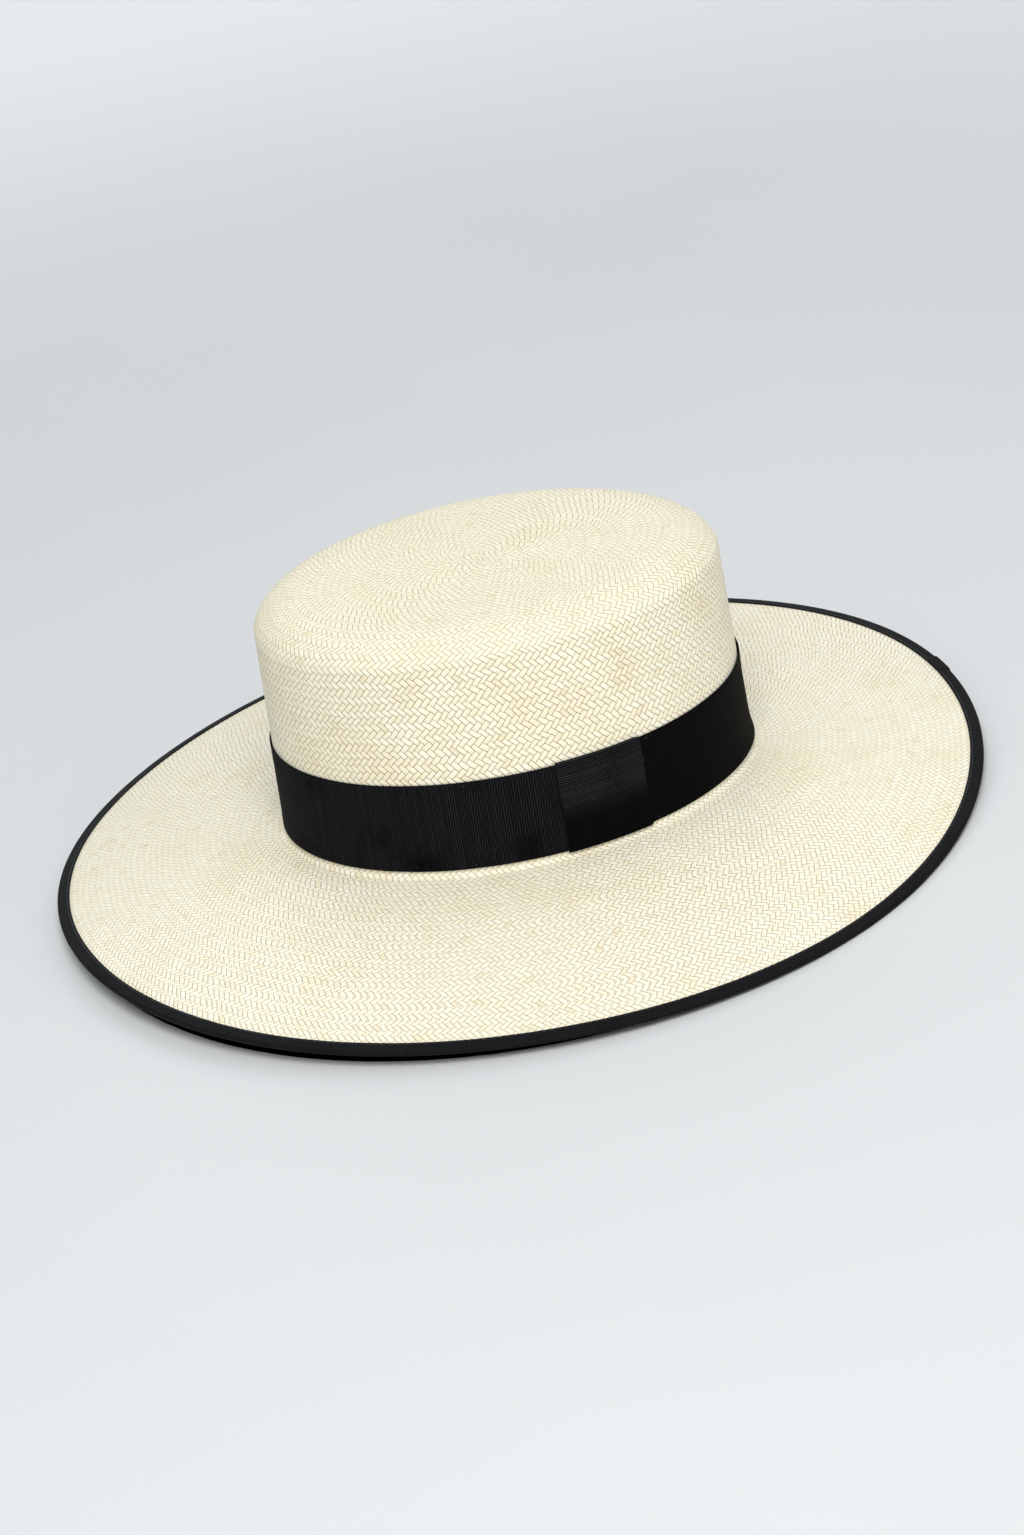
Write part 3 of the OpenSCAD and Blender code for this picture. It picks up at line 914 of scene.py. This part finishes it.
def brim_binding(material):
    """The folded ribbon. Its end rides up over its beginning at the back."""
    lap, climb = 3.4, 1.2
    t = np.linspace(BACK, BACK + 360 + lap, 1301)
    over = np.clip((t - BACK - 360 + climb) / climb, 0, 1)
    over = over * over * (3 - 2 * over) * (BINDING_T + 0.06)
    top = NOSE_R + over + wander(t, 43, 0.03, orders=(19, 31, 47))
    low = NOSE_R - BINDING_T + over
    nose = np.minimum(top, NOSE_R + 0.02 + over)
    reach = binding_rim(t)
    rows = [brim_point(t, reach, top - 0.18), brim_point(t, reach - 0.1, top - 0.03)]
    rows += [brim_point(t, reach * share, top) for share in (0.75, 0.5, 0.25)]
    rows += [nose_point(t, nose, np.full_like(t, q)) for q in range(90, -91, -20)]
    rows += [brim_point(t, reach * share, -top) for share in (0.25, 0.5, 0.75)]
    rows += [brim_point(t, reach - 0.1, 0.03 - top), brim_point(t, reach, 0.18 - top)]
    rows += [brim_point(t, reach, -low - 0.02), brim_point(t, reach * 0.5, -low)]
    rows += [nose_point(t, low, np.full_like(t, q)) for q in range(-90, 91, 45)]
    rows += [brim_point(t, reach * 0.5, low), brim_point(t, reach, low + 0.02)]
    grid = np.stack(rows, axis=1)
    tip = 10
    return sweep(
        "brim_binding_ribbon", grid, lengths(grid[:, tip]) / 0.9, lengths(grid[0], closed=True),
        material, ring=False, nodes=["brim_binding"], slot="binding_black",
    )


def binding_stitches(material):
    """The seam's thread, above and below, three millimetres to a stitch."""
    t = (np.arange(BINDING_STITCHES) + 0.5) * 360 / BINDING_STITCHES
    seam = BINDING_IN - 1.0
    sides = []
    for face in (1, -1):

        def surface(t, shift, face=face):
            return brim_point(t, seam - shift, face * (NOSE_R + 0.02))

        origin, along, side, up = axes_on(surface, t)
        sides.append((origin, along, side, up * face))
    places = [np.concatenate(parts) for parts in zip(*sides)]
    return scatter(
        "binding_stitches_thread", round_bar(2.3, THREAD_R, arch=0.06), places, material,
        nodes=["binding_stitches"], slot="thread_black",
    )


def tube_grid(centre, radius, sides, t):
    """Circles of points round centre(t, out, up), which gives points off a middle line."""
    angle = np.arange(sides) * 2 * math.pi / sides
    return np.stack([centre(t, radius * math.cos(a), radius * math.sin(a)) for a in angle], 1)


def ring_tube(name, centre, radius, sides, t, material, ring=True, **ride):
    """A round cord or wire that follows a middle line round the hat."""
    grid = tube_grid(centre, radius, sides, t)
    u, v = lengths(grid[:, 0], closed=ring), lengths(grid[0], closed=True)
    return sweep(name, grid, u, v, material, ring=ring, **ride)


def wire_middle(t, out, up):
    """Points out from and above the wire's middle line."""
    point = brim_point(t, 0.0, up)
    point[..., :2] += outward(t) * np.asarray(out)[..., None]
    return point


def brim_wire():
    t = np.linspace(BACK + 0.1, BACK + 359.9, 361)
    return ring_tube(
        "brim_wire_round", wire_middle, WIRE_D / 2, 12, t,
        steel_material("wire_steel", "#b9bac0", "#8f9096"),
        ring=False, nodes=["brim_wire"], slot="wire_steel",
    )


def wire_joiner():
    """The sleeve over the wire's ends, crimped twice along its length."""
    sleeve_length, bore, wall = 14.0, WIRE_D / 2 + 0.03, 0.12
    half = math.degrees(sleeve_length / BRIM_LEN)
    t = np.linspace(BACK - half, BACK + half, 41)
    crimp = np.exp(-(((np.abs(t - BACK) - half * 0.55) / 0.18) ** 2)) * 0.05
    outer = tube_grid(wire_middle, bore + wall - crimp, 24, t)
    inner = tube_grid(wire_middle, bore, 24, t)
    n, m = outer.shape[:2]
    points = np.concatenate([outer.reshape(-1, 3), inner.reshape(-1, 3)])
    outside = quads(n, m, False, True)[0]
    faces = np.concatenate([outside, outside[:, ::-1] + n * m]).tolist()
    for start in (0, (n - 1) * m):
        for k in range(m):
            k2 = (k + 1) % m
            faces.append([start + k, start + k2, n * m + start + k2, n * m + start + k])
    uv = np.concatenate([points[face][:, :2] for face in faces])
    return add_piece(
        "wire_joiner_sleeve", points, faces, steel_material("joiner_steel", "#c4c5ca", "#9b9ca2"),
        nodes=["wire_joiner"], slot="joiner_steel", uv=uv,
    )


# ---------------------------------------------------------------- inside the crown
def soft_strip(name, t, z, inset, thick, material, rise=0.0, **ride):
    """A thin strip on the inside of the wall, with rounded long edges."""
    z0, z1 = z
    low_edge, high_edge = [z0 + 0.1, z0, z0 + 0.1], [z1 - 0.1, z1, z1 - 0.1]
    face = np.linspace(z0 + 1, z1 - 1, 8)
    heights = np.concatenate([low_edge, face, high_edge, [z1 - 6, z0 + 6]])
    depth = np.array([0, 0.5, 1] + [1] * 8 + [1, 0.5, 0, 0, 0])
    ragged = wander(t, 51, rise)
    share = np.clip((heights - z0) / (z1 - z0), 0, 1)
    zs = heights[None] + ragged[:, None] * share[None]
    grid = crown_point(t[:, None], zs, inset + depth[None] * thick)
    u = lengths(grid[:, 5])
    v = lengths(np.stack([heights, depth * thick], -1), closed=True)
    return sweep(name, grid, u, v, material, ring=False, **ride)


def sweatband(material):
    t = np.linspace(BACK + 0.15, BACK + 359.85, 361)
    return soft_strip(
        "sweatband_leather", t, (SWEAT_Z, SWEAT_Z + SWEAT_H), SWEAT_IN, SWEAT_T, material,
        rise=0.12, nodes=["sweatband"], slot="sweat_leather",
    )


def sweatband_reed():
    def centre(t, out, up):
        return crown_point(t, up, WRAP_IN - out)

    return ring_tube(
        "sweatband_reed_cord", centre, REED_D / 2, 14, AROUND, plastic_material(),
        nodes=["sweatband_reed"], slot="reed_plastic",
    )


def reed_tape(material):
    """The woven strip round the reed, with its flange up the straw."""
    arc = np.radians(np.arange(180, 421, 20))
    outer = WRAP_R * np.stack([np.cos(arc), np.sin(arc)], -1)
    inner = (WRAP_R - TAPE_T) * np.stack([np.cos(arc[::-1]), np.sin(arc[::-1])], -1)
    flange = np.array([[-WRAP_R, FLANGE_H], [-WRAP_R, FLANGE_H / 2]])
    back_face = np.array([[TAPE_T - WRAP_R, FLANGE_H / 2], [TAPE_T - WRAP_R, FLANGE_H]])
    section = np.concatenate([flange, outer, inner, back_face])
    grid = np.stack([crown_point(AROUND, y, WRAP_IN + x) for x, y in section], axis=1)
    u = lengths(grid[:, 0], closed=True)
    return sweep(
        "reed_tape_woven", grid, u, lengths(section, closed=True), material,
        nodes=["reed_tape"], slot="reed_tape_cloth",
    )


def sweatband_stitches(material):
    """The seam through leather, tape and straw, as it shows on the leather."""
    t = (np.arange(SEAM_STITCHES) + 0.5) * 360 / SEAM_STITCHES
    seam_z = 5.2

    def surface(t, rise):
        return crown_point(t, seam_z + rise, SWEAT_IN + SWEAT_T + 0.03)

    origin, along, side, up = axes_on(surface, t)
    return scatter(
        "sweatband_stitches_thread", round_bar(2.1, 0.2, arch=0.08), (origin, along, side, -up),
        material, nodes=["sweatband_stitches"], slot="thread_ivory",
    )


def back_seam_tape(material):
    t = np.linspace(BACK - 3.5, BACK + 3.5, 15)
    return soft_strip(
        "back_seam_tape_woven", t, (FLANGE_H + 0.5, SWEAT_Z + SWEAT_H - 1), PATCH_IN, 0.24,
        material, nodes=["back_seam_tape"], slot="reed_tape_cloth",
    )


def size_tab(material):
    """A blank label behind the sweatband, a little past the joint."""
    t = np.linspace(201, 215, 21)
    return soft_strip(
        "size_tab_blank", t, (22.0, SWEAT_Z + SWEAT_H + 9), PATCH_IN, 0.2, material,
        nodes=["size_tab"], slot="label_cloth",
    )


BOW_Z = 12.0
BOW_RIBBON_T = 0.22


def bow_ribbon(x, depth, width, tilt):
    """A flat ribbon whose middle line has the x and depth values given, turned by tilt in
    the bow's plane: X along the bow, Y into the leather and Z up."""
    path = np.stack([x, np.zeros_like(x), depth], -1)
    across = np.broadcast_to([0.0, 1.0, 0.0], path.shape)
    face = unit(np.cross(unit(np.gradient(path, axis=0)), across))
    corners = [(-0.5, -0.35), (-0.5, 0.35), (-0.44, 0.5), (0, 0.5)]
    corners += [(0.44, 0.5), (0.5, 0.35), (0.5, -0.35), (0, -0.5)]
    edges = [
        path + across * (width * a)[:, None] + face * (BOW_RIBBON_T * b) for a, b in corners
    ]
    return in_bow(np.stack(edges, axis=1), tilt)


def in_bow(grid, tilt):
    """Points of [x, z, depth], turned by tilt degrees, as the bow's [x, y, z]."""
    x, z, depth = np.moveaxis(grid, -1, 0)
    c, s = math.cos(math.radians(tilt)), math.sin(math.radians(tilt))
    return np.stack([x * c - z * s, -depth, x * s + z * c], -1)


def bow_knot():
    """The short wrap over the bow's middle."""
    wrap = np.radians(np.linspace(0, 360, 17))[:-1]
    rows = []
    for z, swell in ((-2.2, 0.8), (-1.5, 1.0), (0.0, 0.93), (1.5, 1.0), (2.2, 0.8)):
        row = [1.9 * swell * np.cos(wrap), np.full_like(wrap, z), 0.56 * swell * np.sin(wrap)]
        rows.append(np.stack(row, -1))
    return in_bow(np.stack(rows), 0.0)


def bow_parts():
    """The bow's two loops, two tails and knot, as grids of points round its middle."""
    turn = np.radians(np.linspace(-172, 172, 33))
    share = (1 + np.cos(turn)) / 2
    loop_depth = 0.34 * np.sin(turn) * (0.35 + share)
    loop_width = 2.2 + 3.4 * np.sin(share * math.pi / 2) ** 0.7
    run = np.linspace(0, 1, 9)
    parts = []
    for side in (-1, 1):
        loop_x = side * (0.6 + 10.2 * share)
        parts.append(bow_ribbon(loop_x, loop_depth, loop_width, side * 4.0))
        tail_depth = -0.25 + 0.12 * np.sin(run * 5)
        parts.append(bow_ribbon(side * run * 10.5, tail_depth, 2.4 + 0.5 * run, -side * 38.0))
    return parts + [bow_knot()]


def sweatband_bow(material):
    """A small flat bow, sewn to the leather's joint."""
    beside = crown_point(BACK + 7.5, BOW_Z, SWEAT_IN + SWEAT_T)
    origin = np.array([0, beside[1] - 0.75, BOW_Z])
    points, faces, uv = [], [], []
    count = 0
    for grid in bow_parts():
        n, m = grid.shape[:2]
        flat = grid.reshape(-1, 3)
        made = quads(n, m, False, True)[0].tolist()
        made += [list(range(m)), list(range((n - 1) * m, n * m))]
        uv += [flat[face][:, [0, 2]] for face in made]
        faces += [[k + count for k in face] for face in made]
        points.append(flat + origin)
        count += n * m
    return add_piece(
        "sweatband_bow_ribbon", np.concatenate(points), faces, material,
        nodes=["sweatband_bow"], slot="bow_ribbon", uv=np.concatenate(uv),
    )


# ---------------------------------------------------------------- stage, camera and light
AZIMUTH, ELEVATION, ROLL = 79.369, 26.121, -11.586
TARGET = Vector((0.02986, -0.00421, 0.03906))
DISTANCE = 1.55
LENS = 84.43


def floor_material():
    """Pale matt paper, with painted light making it a little paler far from the hat."""
    s = Shader("floor_paper", roughness=0.85, specular=0.2)
    tone = s.noise(s.place(), 3.0, detail=4.0)
    grain = s.noise(s.place(), 260.0, detail=2.0)
    color = s.blend(tone, linear("#d2d4d5"), linear("#d9dbdc"))
    # painted light: the floor is painted paler far from the hat
    color = s.blend(s.steps(s.radius(), 0.7, 1.7), color, linear("#f3f4f4"))
    return s.finish(color, s.bump(grain, 0.0004, 0.25))


def make_floor():
    """A wide disc, dished up far from the hat so that it has no horizon line."""
    radii = np.geomspace(0.2, 9.0, 40)[:, None]
    angle = np.arange(96) * 2 * math.pi / 96
    rise = np.clip((radii - 3.2) / 5.8, 0, 1) ** 2 * 2.2
    rings = np.broadcast_arrays(radii * np.cos(angle), radii * np.sin(angle), rise)
    points = np.concatenate([np.stack(rings, -1).reshape(-1, 3), [[0, 0, 0]]])
    faces = quads(len(radii), len(angle), False, True)[0].tolist()
    faces += [[len(points) - 1, k, (k + 1) % len(angle)] for k in range(len(angle))]
    mesh = bpy.data.meshes.new("floor")
    mesh.from_pydata(points.tolist(), [], faces)
    mesh.polygons.foreach_set("use_smooth", [True] * len(mesh.polygons))
    mesh.materials.append(floor_material())
    floor = bpy.data.objects.new("floor", mesh)
    bpy.context.scene.collection.objects.link(floor)


def direction(azimuth, elevation):
    """From the hat towards a viewer or a light at those angles."""
    a, e = math.radians(azimuth), math.radians(elevation)
    return Vector((math.sin(a) * math.cos(e), -math.cos(a) * math.cos(e), math.sin(e)))


def make_camera():
    """The photograph's viewpoint, with the lean of the picture as the camera's roll."""
    data = bpy.data.cameras.new("camera")
    data.lens = LENS
    data.sensor_width = 36.0
    data.clip_start, data.clip_end = 0.05, 40.0
    camera = bpy.data.objects.new("camera", data)
    back = direction(AZIMUTH, ELEVATION)
    turn = back.to_track_quat("Z", "Y").to_matrix() @ Matrix.Rotation(math.radians(ROLL), 3, "Z")
    camera.matrix_world = Matrix.Translation(TARGET + back * DISTANCE) @ turn.to_4x4()
    bpy.context.scene.collection.objects.link(camera)
    bpy.context.scene.camera = camera


def add_light(name, azimuth, elevation, distance, size, power, color):
    """A round soft light that faces the hat."""
    data = bpy.data.lights.new(name, "AREA")
    data.shape = "DISK"
    data.size = size
    data.energy = power
    data.color = color
    light = bpy.data.objects.new(name, data)
    back = direction(azimuth, elevation)
    light.matrix_world = (
        Matrix.Translation(back * distance) @ back.to_track_quat("Z", "Y").to_matrix().to_4x4()
    )
    bpy.context.scene.collection.objects.link(light)


def make_lights():
    add_light("key", 82, 52, 2.8, 1.5, 55, (1.0, 0.985, 0.965))
    add_light("back", 262, 36, 3.6, 2.0, 24, (0.975, 0.99, 1.0))
    add_light("right", 140, 32, 2.8, 1.8, 7, (1.0, 0.985, 0.96))
    world = bpy.data.worlds.new("studio")
    world.use_nodes = True
    sky = world.node_tree.nodes["Background"]
    sky.inputs["Color"].default_value = linear("#ecf1f6")
    sky.inputs["Strength"].default_value = 0.52
    bpy.context.scene.world = world
    bpy.context.scene.view_settings.view_transform = "Standard"
    bpy.context.scene.view_settings.look = "None"


def build_hat():
    """All fifteen pieces and their materials."""
    # the fourth colour of each ribbon is its painted rib highlight
    grosgrain = ribbon_material(
        "grosgrain_black", "#020203", "#09090a", "#2b2b30", 0.04, 0.0, (60, 460)
    )
    tab = ribbon_material("tab_black", "#020203", "#09090a", "#35353b", 0.04, 0.0, (11, 24))
    binding = ribbon_material("binding_black", "#060608", "#101013", "#1a1a1e", 0.1, 0.00012)
    bow = ribbon_material("bow_ribbon", "#08080a", "#18181b", "#26262a", 0.12, 0.00008)
    black = thread_material("thread_black", "#17171a", "#34343a")
    ivory = thread_material("thread_ivory", "#e9e0c8", "#cfc3a2")
    tape = cloth_material("reed_tape_cloth", "#e9e0c9", "#d2c6a6", 0.5)
    straw_body()
    hat_band(grosgrain)
    band_tab(tab)
    band_tacks(black)
    brim_binding(binding)
    binding_stitches(black)
    brim_wire()
    wire_joiner()
    sweatband(leather_material())
    sweatband_reed()
    reed_tape(tape)
    sweatband_stitches(ivory)
    back_seam_tape(tape)
    size_tab(cloth_material("label_cloth", "#f2f0ea", "#dedbd0", 0.4))
    sweatband_bow(bow)


make_camera()
make_floor()
make_lights()
build_hat()
